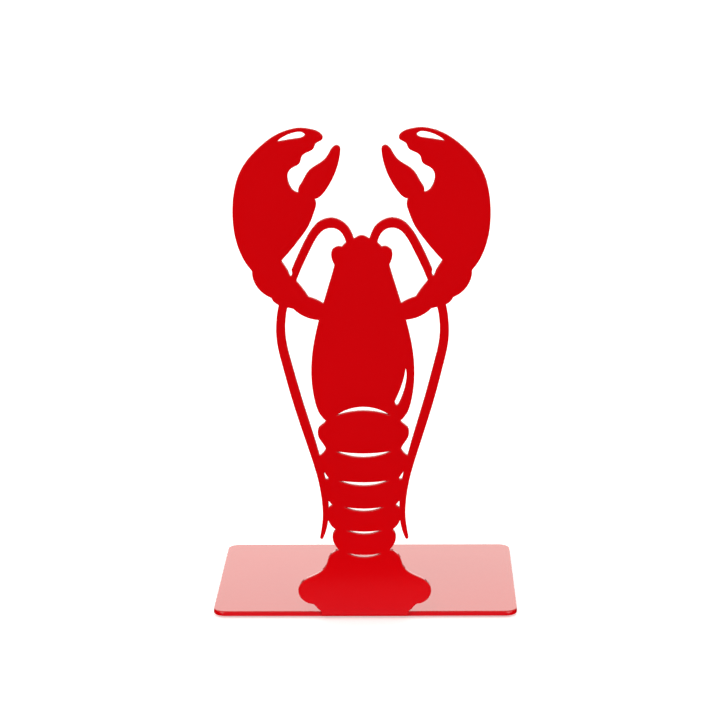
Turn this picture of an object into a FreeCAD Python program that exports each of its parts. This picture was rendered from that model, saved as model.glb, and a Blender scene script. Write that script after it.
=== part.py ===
import FreeCAD, Part
import os

# A lobster bookend. One steel sheet is laser cut in the outline of a lobster that stands on a
# rectangular tongue, then bent 90 degrees under the tail fan. The lobster stands upright at the
# front and the tongue is the base, which runs back under the books and rests on four thin pads.
#
# Millimetres. X is to the lobster's side, Y runs back over the base and Z is up. The origin is
# on the shelf, under the middle of the whole bookend.

# ---------------------------------------------------------------- driving dimensions
figure_height = 239.3          # lobster, from the end of the bend to the top of the claws
sheet_thickness = 2.5
bend_inner_radius = 0.5
neck_half_width = 21.4         # half of the width that is bent

base_width = 150.0
base_depth = 110.0             # flat plate, from its front edge to its rear edge
base_corner_radius = 6.0
edge_lead = 0.4                # how far the plate's front edges reach past the bend's end

antenna_width = 4.6
crescent_height = 1.85         # of the two upper cuts across the body, at their middle

pad_diameter = 14.0
pad_thickness = 1.0
pad_edge_gap = 7.0             # from a pad's rim to the base's nearest edges

# ---------------------------------------------------------------- what follows from them
drawn_height = 239.3           # the height at which the outline points below are written
figure_scale = figure_height / drawn_height

bend_outer_radius = bend_inner_radius + sheet_thickness
overall_depth = bend_outer_radius - edge_lead + base_depth

front_y = -overall_depth / 2               # front face of the lobster
bend_line_y = front_y + bend_outer_radius  # where the bend ends and the flat base goes on
base_front_y = bend_line_y - edge_lead
base_rear_y = base_front_y + base_depth
base_under_z = pad_thickness
bend_line_z = base_under_z + bend_outer_radius   # where the bend ends and the lobster starts

# ---------------------------------------------------------------- the lobster's outline
# Points are (distance from the centre line, height above the bend). Each stretch is a smooth
# curve through its points, and the stretches meet in the corners of the outline.

rostrum = [(0, 187.95), (1.5, 187.65), (3.0, 186.8), (5.0, 185.6), (7.2, 184.5), (9.4, 182.4)]
eye = [(9.4, 182.4), (11.0, 182.75), (12.9, 182.1), (14.2, 180.65), (14.6, 178.45),
       (14.2, 176.1), (13.05, 173.55)]
carapace = [(13.05, 173.55), (14.5, 168.45), (17.25, 159.5), (20.9, 146.6), (23.6, 134.5),
            (24.8, 119.0), (23.4, 107.4), (21.6, 101.6), (18.0, 96.95)]
tail_segments = [
    [(18.0, 96.95), (19.75, 95.35), (21.55, 93.6), (22.1, 91.3), (21.7, 88.9), (20.3, 86.5),
     (18.2, 82.95)],
    [(18.2, 82.95), (19.5, 81.1), (21.6, 79.5)],
    [(21.6, 79.5), (21.3, 75.5), (18.95, 70.9), (17.0, 68.1)],
    [(17.0, 68.1), (17.9, 67.8), (19.6, 70.4)],
    [(19.6, 70.4), (20.2, 65.0), (18.7, 59.3), (15.4, 54.7)],
    [(15.4, 54.7), (17.2, 53.3), (17.9, 50.2), (17.0, 45.7), (13.85, 42.25)],
    [(13.85, 42.25), (15.2, 40.25), (15.5, 38.05), (14.75, 35.15), (12.5, 31.9)],
]
tail_fan = [(12.5, 31.9), (15.7, 30.3), (17.6, 27.7), (18.5, 24.6), (21.2, 20.95),
            (24.8, 18.75), (29.5, 16.4), (32.3, 12.9), (32.2, 8.75), (29.4, 5.35),
            (25.3, 4.05)]

# From the fan's lower corner in to the neck: how far across it is, from 0 at the corner to 1 at
# the neck's round, and the height there.
fan_corner_x = 25.3
neck_round = 0.5               # the outline stands this far outside the neck at its foot
fan_to_neck_steps = [(0.0, 4.05), (0.294, 3.05), (0.618, 1.75), (1.0, 0.6)]

claw_palm = [(38.3, 175.65), (33.5, 181.05), (28.2, 187.8), (25.4, 191.9), (22.25, 199.4),
             (21.4, 203.0), (22.05, 205.3)]
claw_thumb = [(22.05, 205.3), (20.4, 205.8), (18.0, 207.9), (14.95, 212.3), (12.6, 216.85),
              (10.8, 221.9), (9.75, 227.2), (10.3, 230.6), (11.5, 231.05), (13.8, 229.5),
              (16.0, 225.75), (19.0, 222.9), (23.6, 219.95), (26.0, 217.1), (28.1, 213.4),
              (29.65, 210.8), (29.8, 208.65)]
claw_teeth = [(29.8, 208.65), (32.7, 210.2), (34.5, 213.9), (34.7, 217.1), (32.7, 220.1),
              (30.2, 221.35), (28.7, 222.85), (28.1, 225.2), (26.4, 227.0), (23.2, 228.5),
              (22.1, 229.7), (21.4, 231.5), (20.0, 232.5), (18.35, 233.3)]
claw_back = [(18.35, 233.3), (17.9, 235.0), (19.1, 236.8), (23.5, 238.65), (28.5, 239.3),
             (34.0, 238.4), (40.0, 236.0), (46.0, 231.85), (52.0, 226.1), (57.2, 218.7),
             (60.1, 209.9), (61.2, 199.0), (60.2, 187.4), (57.3, 178.3), (52.4, 170.75)]
arm_elbow = [(52.4, 170.75), (52.2, 167.8), (50.0, 162.8), (47.3, 159.9), (43.4, 157.65)]
arm_knuckle = [(43.4, 157.65), (42.5, 156.0), (41.2, 154.85), (39.5, 153.9)]
arm_under = [(33.0, 152.25), (29.9, 149.7), (25.0, 147.45), (20.0, 146.7)]
arm_shoulder = [(17.5, 154.2), (21.7, 156.8), (25.6, 158.2)]
arm_over = [(25.6, 158.2), (27.7, 161.4), (31.5, 166.1), (33.9, 168.35)]
arm_wrist = [(33.9, 168.35), (35.3, 171.0), (38.3, 175.65)]

# The narrow end of the gap between the wrist and the antenna that crosses the arm.
wrist_gap = [(33.75, 172.6), (33.4, 170.4), (33.35, 169.2), (33.95, 168.35), (34.6, 169.1),
             (35.2, 170.8), (35.8, 172.1)]

# Centre line of one antenna, from its root in the head round the loop and down to its tip
# beside the tail. The third number is its width there, as a share of antenna_width.
antenna_path = [
    (4.6, 181.0, 0.90), (6.1, 187.0, 0.90), (8.4, 191.1, 0.97), (12.1, 193.5, 1.06),
    (15.4, 193.8, 1.09), (18.7, 192.7, 1.03), (21.8, 189.8, 0.94), (26.25, 182.3, 0.93),
    (30.75, 172.7, 0.89), (35.6, 160.5, 0.92), (38.1, 152.5, 0.94), (39.15, 144.5, 0.95),
    (38.95, 137.0, 0.97), (36.65, 126.0, 1.00), (31.8, 107.6, 1.02), (27.3, 92.6, 1.00),
    (23.7, 80.6, 0.92), (20.85, 69.7, 0.80), (18.8, 55.7, 0.69), (18.8, 47.7, 0.61),
    (19.55, 42.7, 0.54), (20.75, 38.2, 0.36),
]

# Cuts across the body: half length, height of the two ends, height of the middle, and how high
# the cut is at its middle, as a share of crescent_height. The first arches up like the
# carapace's rim, the others sag.
crescent_cuts = [
    (12.8, 99.8, 102.925, 1.0),
    (13.2, 81.7, 79.625, 1.0),
    (11.8, 66.9, 65.2, 0.865),
    (9.3, 53.6, 52.1, 0.65),
    (8.2, 41.7, 40.5, 0.595),
    (8.0, 30.0, 28.65, 0.595),
]

claw_glint_upper = [(39.3, 232.9), (36.2, 235.15), (33.3, 236.4), (31.0, 237.05), (28.3, 237.3)]
claw_glint_end = [(28.3, 237.3), (26.4, 236.0), (28.2, 234.65)]
claw_glint_lower = [(28.2, 234.65), (33.7, 233.85), (39.3, 232.9)]

shell_glint_outer = [(20.6, 122.95), (21.0, 120.0), (20.6, 115.6), (19.3, 110.6), (17.4, 106.0)]
shell_glint_end = [(17.4, 106.0), (16.1, 104.85), (15.2, 106.3)]
shell_glint_inner = [(15.2, 106.3), (17.75, 112.1), (19.3, 116.6), (20.6, 122.95)]


def in_sheet_plane(x, height):
    """A point of the lobster's outline, on its front face."""
    return FreeCAD.Vector(x * figure_scale, front_y, bend_line_z + height * figure_scale)


def curve_through(points):
    """A straight edge through two points, or a smooth curve through more."""
    if len(points) == 2:
        return Part.LineSegment(points[0], points[1]).toShape()
    spline = Part.BSplineCurve()
    spline.interpolate(points)
    return spline.toShape()


def sheet_blank(edges):
    """The sheet inside a closed run of edges on the front face, at full thickness."""
    face = Part.Face(Part.Wire(Part.__sortEdges__(edges)))
    return face.extrude(FreeCAD.Vector(0, sheet_thickness, 0))


def blank_from(stretches):
    """The sheet inside stretches that are given in order. Gaps are closed with lines."""
    runs = [[in_sheet_plane(x, height) for x, height in stretch] for stretch in stretches]
    edges = []
    for number, run in enumerate(runs):
        edges.append(curve_through(run))
        next_start = runs[(number + 1) % len(runs)][0]
        if run[-1].distanceToPoint(next_start) > 1e-6:
            edges.append(curve_through([run[-1], next_start]))
    return sheet_blank(edges)


def both_sides(solid):
    """The solid with its mirror image across the centre line."""
    twin = solid.mirror(FreeCAD.Vector(0, 0, 0), FreeCAD.Vector(1, 0, 0))
    return solid.fuse(twin)


def half_body():
    """Head, carapace, tail segments and fan, on one side of the centre line."""
    neck = neck_half_width / figure_scale
    across = neck + neck_round - fan_corner_x
    fan_to_neck = [(fan_corner_x + step * across, height) for step, height in fan_to_neck_steps]
    foot = [(neck, 0), (0, 0)]
    stretches = [rostrum, eye, carapace] + tail_segments + [tail_fan, fan_to_neck, foot]
    return blank_from(stretches)


def claw_and_arm():
    """One claw with its toothed gap, and the arm that joins it to the carapace."""
    return blank_from([claw_palm, claw_thumb, claw_teeth, claw_back, arm_elbow, arm_knuckle,
                       arm_under, arm_shoulder, arm_over, arm_wrist])


def antenna():
    """A ribbon of changing width along the antenna's centre line, with a round tip."""
    middle = Part.BSplineCurve()
    middle.interpolate([in_sheet_plane(x, height) for x, height, share in antenna_path])
    outer = []
    inner = []
    for x, height, share in antenna_path:
        point = in_sheet_plane(x, height)
        along = middle.tangent(middle.parameter(point))[0]
        across = along.cross(FreeCAD.Vector(0, 1, 0))
        reach = across * (share * antenna_width / 2)
        outer.append(point + reach)
        inner.append(point - reach)
    tip_radius = outer[-1].distanceToPoint(inner[-1]) / 2
    tip = (outer[-1] + inner[-1]) / 2 + along * tip_radius
    tip_edge = Part.Arc(outer[-1], tip, inner[-1]).toShape()
    root_edge = curve_through([inner[0], outer[0]])
    return sheet_blank([curve_through(outer), tip_edge, curve_through(inner), root_edge])


def crescent(half_length, ends, middle, share):
    """A cut with pointed ends, between two arcs that share them."""
    half_height = share * crescent_height / 2
    left = in_sheet_plane(-half_length, ends)
    right = in_sheet_plane(half_length, ends)
    arcs = []
    for up in (-1, 1):
        crown = in_sheet_plane(0, middle) + FreeCAD.Vector(0, 0, up * half_height)
        arcs.append(Part.Arc(left, crown, right).toShape())
    return sheet_blank(arcs)


def lobster():
    """The upright sheet: every part of the outline joined, then the inner cuts."""
    side = half_body().fuse([claw_and_arm(), antenna()])
    side = side.cut(blank_from([wrist_gap]))
    upright = both_sides(side)
    cuts = [crescent(*sizes) for sizes in crescent_cuts]
    cuts.append(both_sides(blank_from([claw_glint_upper, claw_glint_end, claw_glint_lower])))
    cuts.append(blank_from([shell_glint_outer, shell_glint_end, shell_glint_inner]))
    return upright.cut(cuts)


def bend_space():
    """The box that the bend lies in, as wide as the neck."""
    return Part.makeBox(2 * neck_half_width, bend_outer_radius, bend_outer_radius,
                        FreeCAD.Vector(-neck_half_width, front_y, base_under_z))


def bend():
    """The quarter turn of sheet that joins the lobster's neck to the base."""
    centre = FreeCAD.Vector(-neck_half_width, bend_line_y, bend_line_z)
    axis = FreeCAD.Vector(1, 0, 0)
    outer = Part.makeCylinder(bend_outer_radius, 2 * neck_half_width, centre, axis)
    inner = Part.makeCylinder(bend_inner_radius, 2 * neck_half_width, centre, axis)
    return outer.cut(inner).common(bend_space())


def base():
    """The flat plate that the books stand on."""
    corner = FreeCAD.Vector(-base_width / 2, base_front_y, base_under_z)
    plate = Part.makeBox(base_width, base_depth, sheet_thickness, corner)
    upright_edges = [edge for edge in plate.Edges
                     if abs(edge.tangentAt(edge.FirstParameter).z) > 0.99]
    return plate.makeFillet(base_corner_radius, upright_edges).cut(bend_space())


def bent_steel_sheet():
    """Lobster, bend and base, one piece of steel."""
    return lobster().fuse([bend(), base()]).removeSplitter()


def rubber_pad(side, end_y):
    """A round self-adhesive pad under one corner of the base."""
    reach = pad_edge_gap + pad_diameter / 2
    x = side * (base_width / 2 - reach)
    toward_middle = 1 if end_y < 0 else -1
    centre = FreeCAD.Vector(x, end_y + toward_middle * reach, 0)
    return Part.makeCylinder(pad_diameter / 2, pad_thickness, centre)


def single_solid(shape):
    """The one solid of a shape, which must be whole and in one piece."""
    if len(shape.Solids) != 1 or not shape.isValid():
        raise ValueError("expected one sound solid, found %d" % len(shape.Solids))
    return shape.Solids[0]


parts = {"bent_steel_sheet": single_solid(bent_steel_sheet())}
for side_name, side in (("left", -1), ("right", 1)):
    for end_name, end_y in (("front", base_front_y), ("rear", base_rear_y)):
        parts["rubber_pad_%s_%s" % (end_name, side_name)] = rubber_pad(side, end_y)

os.makedirs("parts", exist_ok=True)
for name, shape in parts.items():
    shape.exportStep("parts/%s.step" % name)
    box = shape.BoundBox
    print("%-24s %7.1f x %6.1f x %6.1f mm, %9.1f mm3"
          % (name, box.XLength, box.YLength, box.ZLength, shape.Volume))
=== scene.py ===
# %% [markdown]
# # A lobster bookend, cut and bent from one steel sheet
# The real bookend is a single laser-cut sheet with a gloss red powder coat, bent 90 degrees under
# the lobster's tail, and four thin pads stuck under its base. Everything with a size is already
# settled in the frame. What is left for Blender is how the thing looks: the coating's soft edges,
# its gloss and its colour, the pads' rubber, and a quiet studio to see them in.

# %% Load the frame
import bmesh
import bpy
import math
from mathutils import Euler, Matrix, Vector


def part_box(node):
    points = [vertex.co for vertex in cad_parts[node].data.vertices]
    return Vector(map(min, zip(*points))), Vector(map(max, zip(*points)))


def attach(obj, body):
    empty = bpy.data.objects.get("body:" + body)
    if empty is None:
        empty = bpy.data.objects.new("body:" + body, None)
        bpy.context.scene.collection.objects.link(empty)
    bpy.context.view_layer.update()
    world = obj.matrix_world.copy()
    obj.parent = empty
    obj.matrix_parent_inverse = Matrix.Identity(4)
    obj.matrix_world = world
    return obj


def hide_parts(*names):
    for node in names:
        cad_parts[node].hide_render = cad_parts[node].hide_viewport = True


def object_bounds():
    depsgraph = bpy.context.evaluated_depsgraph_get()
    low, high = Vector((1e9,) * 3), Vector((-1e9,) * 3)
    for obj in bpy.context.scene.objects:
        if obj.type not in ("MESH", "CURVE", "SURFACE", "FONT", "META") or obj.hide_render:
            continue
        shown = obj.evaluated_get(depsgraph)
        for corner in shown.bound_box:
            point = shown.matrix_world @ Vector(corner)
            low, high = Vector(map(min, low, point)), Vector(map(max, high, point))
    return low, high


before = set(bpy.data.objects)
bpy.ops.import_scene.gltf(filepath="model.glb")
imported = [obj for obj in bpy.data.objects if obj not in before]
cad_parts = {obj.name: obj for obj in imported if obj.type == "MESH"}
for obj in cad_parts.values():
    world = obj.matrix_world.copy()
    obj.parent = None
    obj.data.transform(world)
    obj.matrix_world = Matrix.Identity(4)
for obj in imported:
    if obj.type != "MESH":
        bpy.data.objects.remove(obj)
frame_low, frame_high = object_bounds()
millimetre = 0.001
print("nodes:", sorted(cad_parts))
print("whole size in mm:", [round(side / millimetre, 1) for side in frame_high - frame_low])

# %% [markdown]
# ## The camera
# The bookend is seen from about a metre away through a long lens, so that the upright sheet stays
# almost free of perspective, and from a little above, so that the base shows behind it. The
# camera is placed from the front edge of the base, which lies where the bend ends, a little
# behind the lobster's face. The small turn and roll are those of a camera set up by hand.

# %% Camera
sheet_low, sheet_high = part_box("bent_steel_sheet")
face_to_base_edge = 2.6 * millimetre
base_front_edge = sheet_low.y + face_to_base_edge
camera_distance = 1.1405
camera_height = 0.3944
camera_aside = 0.02533
look_down = math.radians(13.069)
look_left = math.radians(1.340)
camera_roll = math.radians(-0.519)
upright = math.radians(90)

camera_data = bpy.data.cameras.new("product_camera")
camera_data.sensor_width = 36
camera_data.lens = 121.76
camera = bpy.data.objects.new("product_camera", camera_data)
camera.location = (camera_aside, base_front_edge - camera_distance, sheet_low.z + camera_height)
aim = Euler((upright - look_down, 0, look_left)).to_matrix()
camera.rotation_euler = (aim @ Matrix.Rotation(camera_roll, 3, "Z")).to_euler()
bpy.context.scene.collection.objects.link(camera)
bpy.context.scene.camera = camera
print("camera at", [round(value, 3) for value in camera.location])

# %% [markdown]
# ## Colours
# Colours are easiest to note down as the hex values of a paint card or a screen. Blender's
# shaders work in linear light, so one function turns the one into the other.

# %% Hex to linear colour
def linear(hex_code):
    """The linear colour of an sRGB hex value such as "C40006", with full opacity behind it."""
    channels = [int(hex_code[place:place + 2], 16) / 255 for place in (0, 2, 4)]
    return [value / 12.92 if value <= 0.04045 else ((value + 0.055) / 1.055) ** 2.4
            for value in channels] + [1.0]


print("the coat's red as linear light:", [round(value, 3) for value in linear("C40006")])

# %% [markdown]
# ## A helper for shader nodes
# Every material below is a small graph of nodes. One function adds a node, fills in its
# settings and joins its inputs, so that a material reads as a list of what feeds what.

# %% Node helper
def add_node(tree, kind, settings=None, values=None, links=None):
    """Adds a node. settings are its own options, values fill its input sockets, and links maps
    an input socket to the output socket that feeds it."""
    node = tree.nodes.new(kind)
    for name, value in (settings or {}).items():
        setattr(node, name, value)
    for name, value in (values or {}).items():
        node.inputs[name].default_value = value
    for name, source in (links or {}).items():
        tree.links.new(source, node.inputs[name])
    return node


def new_material(name):
    """A material with an empty node tree and its output node."""
    material = bpy.data.materials.new(name)
    material.use_nodes = True
    material.node_tree.nodes.clear()
    output = add_node(material.node_tree, "ShaderNodeOutputMaterial")
    return material, material.node_tree, output


# %% [markdown]
# ## The studio
# Gloss on a flat sheet shows only what the sheet mirrors. Seen from a little above, the upright
# mirrors the ground in front of it and the base mirrors what stands behind it. So the set is a
# shadowless light table, which glows a little of its own and is kept out of the mirror image,
# under a wide white dome that is brightest behind the object. The upright then keeps its full
# red, and the base turns pale pink at this low angle. The table is cast acrylic, sanded matt:
# almost white, a little uneven, and with no clear shine of its own.

# %% Light table
table_size = 40.0
table_glow = 0.42
table_roughness = 0.6
cloud_width = 1 / 3
bpy.ops.object.select_all(action="DESELECT")
bpy.ops.mesh.primitive_plane_add(size=table_size, location=(0, 0, frame_low.z))
light_table = bpy.context.object
light_table.name = "light_table"
light_table.visible_glossy = False
acrylic, tree, output = new_material("matt_white_acrylic")
place = add_node(tree, "ShaderNodeTexCoord")
cloud = add_node(tree, "ShaderNodeTexNoise", values={"Scale": 1 / cloud_width, "Detail": 2.0},
                 links={"Vector": place.outputs["Object"]})
white = add_node(tree, "ShaderNodeMix", {"data_type": "RGBA"},
                 {"A": linear("F2F2F1"), "B": linear("F6F6F6")},
                 {"Factor": cloud.outputs["Fac"]})
matt = add_node(tree, "ShaderNodeBsdfPrincipled",
                values={"Roughness": table_roughness, "Emission Color": linear("FFFFFF"),
                        "Emission Strength": table_glow},
                links={"Base Color": white.outputs["Result"]})
tree.links.new(matt.outputs["BSDF"], output.inputs["Surface"])
light_table.data.materials.append(acrylic)
print("light table at z =", light_table.location.z)

# %% [markdown]
# The dome is the world around the scene. Its brightness follows the direction alone: nothing from
# below, and a smooth rise from an even white in front to more than twice that behind. The
# "Standard" view transform keeps white white and the red saturated.

# %% Dome of light
scene = bpy.context.scene
scene.view_settings.view_transform = "Standard"
horizon = (-0.06, 0.0)
rear_rise = (0.5, 0.95)
front_and_rear_strength = (0.89, 2.24)

dome = bpy.data.worlds.new("white_dome")
dome.use_nodes = True
tree = dome.node_tree
tree.nodes.clear()
toward = add_node(tree, "ShaderNodeTexCoord")
parts_of = add_node(tree, "ShaderNodeSeparateXYZ", links={"Vector": toward.outputs["Generated"]})
above = add_node(tree, "ShaderNodeMapRange", {"interpolation_type": "SMOOTHSTEP"},
                 {"From Min": horizon[0], "From Max": horizon[1], "To Min": 0.0, "To Max": 1.0},
                 {"Value": parts_of.outputs["Z"]})
behind = add_node(tree, "ShaderNodeMapRange", {"interpolation_type": "SMOOTHSTEP"},
                  {"From Min": rear_rise[0], "From Max": rear_rise[1],
                   "To Min": front_and_rear_strength[0], "To Max": front_and_rear_strength[1]},
                  {"Value": parts_of.outputs["Y"]})
strength = add_node(tree, "ShaderNodeMath", {"operation": "MULTIPLY"})
tree.links.new(above.outputs["Result"], strength.inputs[0])
tree.links.new(behind.outputs["Result"], strength.inputs[1])
glow = add_node(tree, "ShaderNodeBackground", values={"Color": linear("FFFEF8")},
                links={"Strength": strength.outputs["Value"]})
output = add_node(tree, "ShaderNodeOutputWorld", links={"Surface": glow.outputs["Background"]})
scene.world = dome
print("dome strength in front and behind:", front_and_rear_strength)

# %% [markdown]
# Two lamps add to the dome. A large soft one high in front on the left is the key. A small strip
# at the lobster's feet lifts the red of the tail fan, and is kept out of its mirror image.

# %% Lamps
def softbox(name, place, aim_at, width, height, power):
    """A rectangular lamp that faces a point, which the camera itself doesn't see."""
    lamp_data = bpy.data.lights.new(name, "AREA")
    lamp_data.shape = "RECTANGLE"
    lamp_data.size = width
    lamp_data.size_y = height
    lamp_data.energy = power
    lamp = bpy.data.objects.new(name, lamp_data)
    lamp.location = place
    lamp.rotation_euler = (Vector(aim_at) - Vector(place)).to_track_quat("-Z", "Y").to_euler()
    lamp.visible_camera = False
    scene.collection.objects.link(lamp)
    return lamp


key_place = (-1.2, -2.2, 2.6)
key_target = (0, 0, 0.1)
key_watts = 10
strip_height = 7 * millimetre
strip_place = (0, -0.090, strip_height)
strip_target = (0, 0, strip_height)
strip_watts = 0.0105
softbox("key_lamp", key_place, key_target, width=1.6, height=1.2, power=key_watts)
low_strip = softbox("low_strip", strip_place, strip_target, width=0.20, height=0.010,
                    power=strip_watts)
low_strip.visible_glossy = False

# %% [markdown]
# ## Cards that only the gloss sees
# Since the table is kept out of the mirror image, cards bring back the little of it that matters.
# A cool white one lies in front of the lobster and fades away from it, and gives a faint haze low
# on the tail fan. A small white one lies off each front corner of the base, and draws a streak of
# light along the turn of that corner. A card is a plane that gives off light and that only
# reflections can see, so it lights nothing else and casts no shadow.

# %% A card
card_height = 0.2 * millimetre
card_edge = 0.5


def gloss_card(name, low, high, tint, strength):
    """A card flat on the table between two corners, seen in reflections and nowhere else. Its
    strength runs from one value at the near edge to another at the far edge."""
    middle = ((low[0] + high[0]) / 2, (low[1] + high[1]) / 2, card_height)
    bpy.ops.object.select_all(action="DESELECT")
    bpy.ops.mesh.primitive_plane_add(size=2 * card_edge, location=middle)
    card = bpy.context.object
    card.name = name
    card.dimensions = (high[0] - low[0], high[1] - low[1], 0)
    card.visible_camera = False
    card.visible_diffuse = False
    card.visible_transmission = False
    card.visible_shadow = False
    paper, tree, output = new_material(name + "_paper")
    place = add_node(tree, "ShaderNodeTexCoord")
    parts_of = add_node(tree, "ShaderNodeSeparateXYZ", links={"Vector": place.outputs["Object"]})
    fade = add_node(tree, "ShaderNodeMapRange", {"interpolation_type": "SMOOTHSTEP"},
                    {"From Min": -card_edge, "From Max": card_edge,
                     "To Min": strength[0], "To Max": strength[1]},
                    {"Value": parts_of.outputs["Y"]})
    shine = add_node(tree, "ShaderNodeEmission", values={"Color": linear(tint)},
                     links={"Strength": fade.outputs["Result"]})
    tree.links.new(shine.outputs["Emission"], output.inputs["Surface"])
    card.data.materials.append(paper)
    print(name, [round(side / millimetre) for side in card.dimensions], "mm")


# %% Place the cards
front_card_reach = 78 * millimetre
front_card_side = 150 * millimetre
front_card_strength = (0.0, 0.26)
gloss_card("front_card", (-front_card_side, sheet_low.y - front_card_reach),
           (front_card_side, sheet_low.y), "EBDEFF", front_card_strength)

corner_overlap = 1.5 * millimetre
corner_reach = 25 * millimetre
corner_near = base_front_edge - 30 * millimetre
corner_far = base_front_edge - 4.5 * millimetre
corner_card_strength = (3.4, 3.2)
for side, name in ((-1, "left_card"), (1, "right_card")):
    left, right = sorted((side * (sheet_high.x - corner_overlap),
                          side * (sheet_high.x + corner_reach)))
    gloss_card(name, (left, corner_near), (right, corner_far), "FFFFFF", corner_card_strength)

# %% [markdown]
# ## The coated sheet
# A laser leaves crisp edges, but the powder melts and draws back from them, so every edge of a
# coated sheet ends up slightly round, and it is this narrow round that catches a line of light.
# The frame's sheet has the right outline with sharp edges. Its mesh is loose triangles, so a copy
# of it is merged into one skin and its flat sides are made whole again. Only the rim, where a
# flat side meets the cut edge, is then rounded.

# %% Copy and merge the sheet
weld_distance = 0.002 * millimetre
flat_tolerance = math.radians(0.3)

sheet_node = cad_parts["bent_steel_sheet"]
sheet = bpy.data.objects.new("coated_sheet", sheet_node.data.copy())
sheet.data.materials.clear()
scene.collection.objects.link(sheet)
bpy.ops.object.select_all(action="DESELECT")
sheet.select_set(True)
bpy.context.view_layer.objects.active = sheet
triangle_count = len(sheet.data.polygons)
bpy.ops.object.mode_set(mode="EDIT")
bpy.ops.mesh.select_all(action="SELECT")
bpy.ops.mesh.remove_doubles(threshold=weld_distance)
bpy.ops.mesh.dissolve_limited(angle_limit=flat_tolerance)
bpy.ops.object.mode_set(mode="OBJECT")
print("faces:", triangle_count, "triangles became", len(sheet.data.polygons))

# %% [markdown]
# Bevel can follow a weight on each edge. The weight is 1 on every sharp edge, except for a few
# beside the two ends of the bend. There the figure, the bend and the base meet in a crowd of short
# edges, and rounding all of them would push their corners through each other.

# %% Choose the edges to round
rim_angle = math.radians(35)
neck_side = 21.4 * millimetre
neck_zone = 0.9 * millimetre
bend_top = sheet_low.z + 3.0 * millimetre
underside_zone = 0.2 * millimetre
nearly_along = 0.9


def at_the_neck(point):
    """True beside the two ends of the bend, where many short edges meet."""
    return (abs(abs(point.x) - neck_side) < neck_zone and point.y < base_front_edge + neck_zone
            and point.z < bend_top + neck_zone)


shape = bmesh.new()
shape.from_mesh(sheet.data)
weight = shape.edges.layers.float.new("bevel_weight_edge")
for edge in shape.edges:
    along = (edge.verts[1].co - edge.verts[0].co).normalized()
    crowded = all(at_the_neck(corner.co) for corner in edge.verts)
    through = abs(along.y) > nearly_along
    underneath = edge.verts[0].co.z < sheet_low.z + underside_zone
    if edge.calc_face_angle() > rim_angle and not (crowded and (through or underneath)):
        edge[weight] = 1.0
print("edges to round:", sum(edge[weight] > 0 for edge in shape.edges))
shape.to_mesh(sheet.data)
shape.free()

# %% Round the rim
coat_round = 0.4 * millimetre
rounding = sheet.modifiers.new("coat_round", "BEVEL")
rounding.width = coat_round
rounding.segments = 4
rounding.limit_method = "WEIGHT"
rounding.use_clamp_overlap = False
rounding.miter_outer = "MITER_ARC"
rounding.loop_slide = False
bpy.ops.object.modifier_apply(modifier=rounding.name)
print("rounded sheet:", len(sheet.data.polygons), "faces")

# %% [markdown]
# Smooth shading blends the direction of neighbouring faces. On the round rim that is wanted. On
# the wide flat sides it would show as pale smears in the gloss, so these keep flat shading, and
# the eye takes the change from one to the other as part of the rim.

# %% Smooth rim, flat sides
squarely_along = 0.99999


def is_flat_side(face):
    """True for a face of the sheet's big flat sides, which look along Y or Z."""
    return max(abs(face.normal.y), abs(face.normal.z)) > squarely_along


bpy.ops.object.shade_smooth()
for face in sheet.data.polygons:
    face.use_smooth = not is_flat_side(face)
print("flat faces:", sum(is_flat_side(face) for face in sheet.data.polygons))

# %% [markdown]
# ## Gloss powder coat
# Polyester powder is sprayed on dry and baked until it flows into one skin. It is a plastic film
# over metal, so it isn't metallic: it gives the eye its own deep red under one clear gloss, of
# IOR about 1.5. It never flows quite flat, which leaves a fine "orange peel", waves about two
# millimetres wide that ripple a reflection, and its red drifts a little from place to place.

# %% Powder coat material
powder, tree, output = new_material("gloss_powder_coat_red")
place = add_node(tree, "ShaderNodeTexCoord")
peel_width = 2.2 * millimetre
peel_height = 0.04 * millimetre
tone_width = 60 * millimetre
peel = add_node(tree, "ShaderNodeTexNoise", values={"Scale": 1 / peel_width, "Detail": 2.0},
                links={"Vector": place.outputs["Object"]})
ripple = add_node(tree, "ShaderNodeBump", values={"Strength": 0.12, "Distance": peel_height},
                  links={"Height": peel.outputs["Fac"]})
tone = add_node(tree, "ShaderNodeTexNoise", values={"Scale": 1 / tone_width, "Detail": 3.0},
                links={"Vector": place.outputs["Object"]})
red = add_node(tree, "ShaderNodeMix", {"data_type": "RGBA"},
               {"A": linear("BD0005"), "B": linear("C40006")},
               {"Factor": tone.outputs["Fac"]})
coat = add_node(tree, "ShaderNodeBsdfPrincipled",
                values={"Roughness": 0.07, "IOR": 1.5},
                links={"Base Color": red.outputs["Result"], "Normal": ripple.outputs["Normal"]})
tree.links.new(coat.outputs["BSDF"], output.inputs["Surface"])
sheet.data.materials.append(powder)
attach(sheet, "root")
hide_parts("bent_steel_sheet")
print("sheet wears", powder.name)

# %% [markdown]
# ## Non-slip pads
# Thin discs of black rubber are punched from an adhesive-backed sheet or moulded, and stuck under
# each corner. A moulded pad has a softly rounded lower rim and a shallow dish inside it, which
# grips better than a flat face. One pad is shaped from a disc. Its lower face is inset to leave a
# rim, inset again and pushed up into the dish, and inset once more, so that the dish's floor has a
# ring of faces of its own. Then the edges are bevelled, and the pad is copied under each corner.

# %% Shape one pad
pad_names = [name for name in sorted(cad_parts) if name.startswith("rubber_pad")]
pad_low, pad_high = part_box(pad_names[0])
pad_radius = (pad_high.x - pad_low.x) / 2
pad_middle = (pad_low + pad_high) / 2
pad_height = pad_high.z - pad_low.z
dish_depth = 0.2 * millimetre
rim_width = 1.1 * millimetre
disc_corners = 96
facing_down = -0.9

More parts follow.
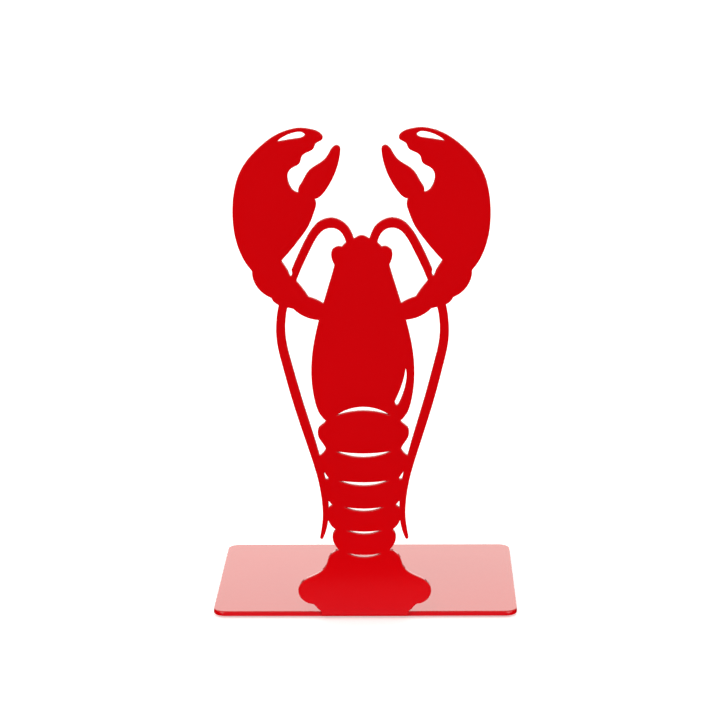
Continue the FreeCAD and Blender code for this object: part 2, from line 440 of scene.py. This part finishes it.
bpy.ops.object.select_all(action="DESELECT")
bpy.ops.mesh.primitive_cylinder_add(vertices=disc_corners, radius=pad_radius, depth=pad_height,
                                    location=pad_middle)
pad = bpy.context.object
pad.name = "first_pad"
bpy.ops.object.transform_apply(location=True, rotation=False, scale=False)
bpy.ops.object.mode_set(mode="EDIT")
bpy.ops.mesh.select_mode(type="FACE")
bpy.ops.mesh.select_all(action="DESELECT")
bpy.ops.object.mode_set(mode="OBJECT")
for face in pad.data.polygons:
    face.select = face.normal.z < facing_down
bpy.ops.object.mode_set(mode="EDIT")
bpy.ops.mesh.inset(thickness=rim_width, depth=0)
bpy.ops.mesh.inset(thickness=2 * dish_depth, depth=-dish_depth)
bpy.ops.mesh.inset(thickness=pad_radius / 3, depth=0)
bpy.ops.object.mode_set(mode="OBJECT")
print("pad:", round(2 * pad_radius / millimetre, 1), "mm across,", len(pad.data.polygons), "faces")

# %% Soften the pad's edges
pad_round = 0.25 * millimetre
softening = pad.modifiers.new("pad_round", "BEVEL")
softening.width = pad_round
softening.segments = 3
softening.limit_method = "ANGLE"
softening.angle_limit = math.radians(20)
smooth_below = math.radians(30)
bpy.ops.object.modifier_apply(modifier=softening.name)
bpy.ops.object.shade_smooth_by_angle(angle=smooth_below)
print("softened pad:", len(pad.data.polygons), "faces")

# %% [markdown]
# ## Moulded rubber
# Black rubber is a dark grey that soaks up light. The mould's spark-eroded surface leaves a fine
# grain about a quarter of a millimetre across, so it gives the eye no clear gloss, only a dull
# bloom in patches a few millimetres wide.

# %% Rubber material
rubber, tree, output = new_material("moulded_black_rubber")
place = add_node(tree, "ShaderNodeTexCoord")
grain_width = 0.25 * millimetre
grain_depth = 0.05 * millimetre
bloom_width = 4 * millimetre
grain = add_node(tree, "ShaderNodeTexNoise", values={"Scale": 1 / grain_width, "Detail": 4.0},
                 links={"Vector": place.outputs["Object"]})
bloom = add_node(tree, "ShaderNodeTexNoise", values={"Scale": 1 / bloom_width},
                 links={"Vector": place.outputs["Object"]})
black = add_node(tree, "ShaderNodeMix", {"data_type": "RGBA"},
                 {"A": linear("2B2B2C"), "B": linear("373737")},
                 {"Factor": bloom.outputs["Fac"]})
dullness = add_node(tree, "ShaderNodeMapRange", values={"To Min": 0.62, "To Max": 0.86},
                    links={"Value": grain.outputs["Fac"]})
pitted = add_node(tree, "ShaderNodeBump", values={"Strength": 0.5, "Distance": grain_depth},
                  links={"Height": grain.outputs["Fac"]})
skin = add_node(tree, "ShaderNodeBsdfPrincipled", values={"IOR": 1.52},
                links={"Base Color": black.outputs["Result"],
                       "Roughness": dullness.outputs["Result"],
                       "Normal": pitted.outputs["Normal"]})
tree.links.new(skin.outputs["BSDF"], output.inputs["Surface"])
pad.data.materials.append(rubber)
print("pads wear", rubber.name)

# %% Copy the pad under each corner
for name in pad_names:
    low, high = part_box(name)
    copy = bpy.data.objects.new("soft_" + name, pad.data.copy())
    copy.data.transform(Matrix.Translation((low + high) / 2 - pad_middle))
    scene.collection.objects.link(copy)
    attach(copy, "root")
    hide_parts(name)
    print(copy.name, "at", [round(value / millimetre, 1) for value in (low + high) / 2])
bpy.data.objects.remove(pad)
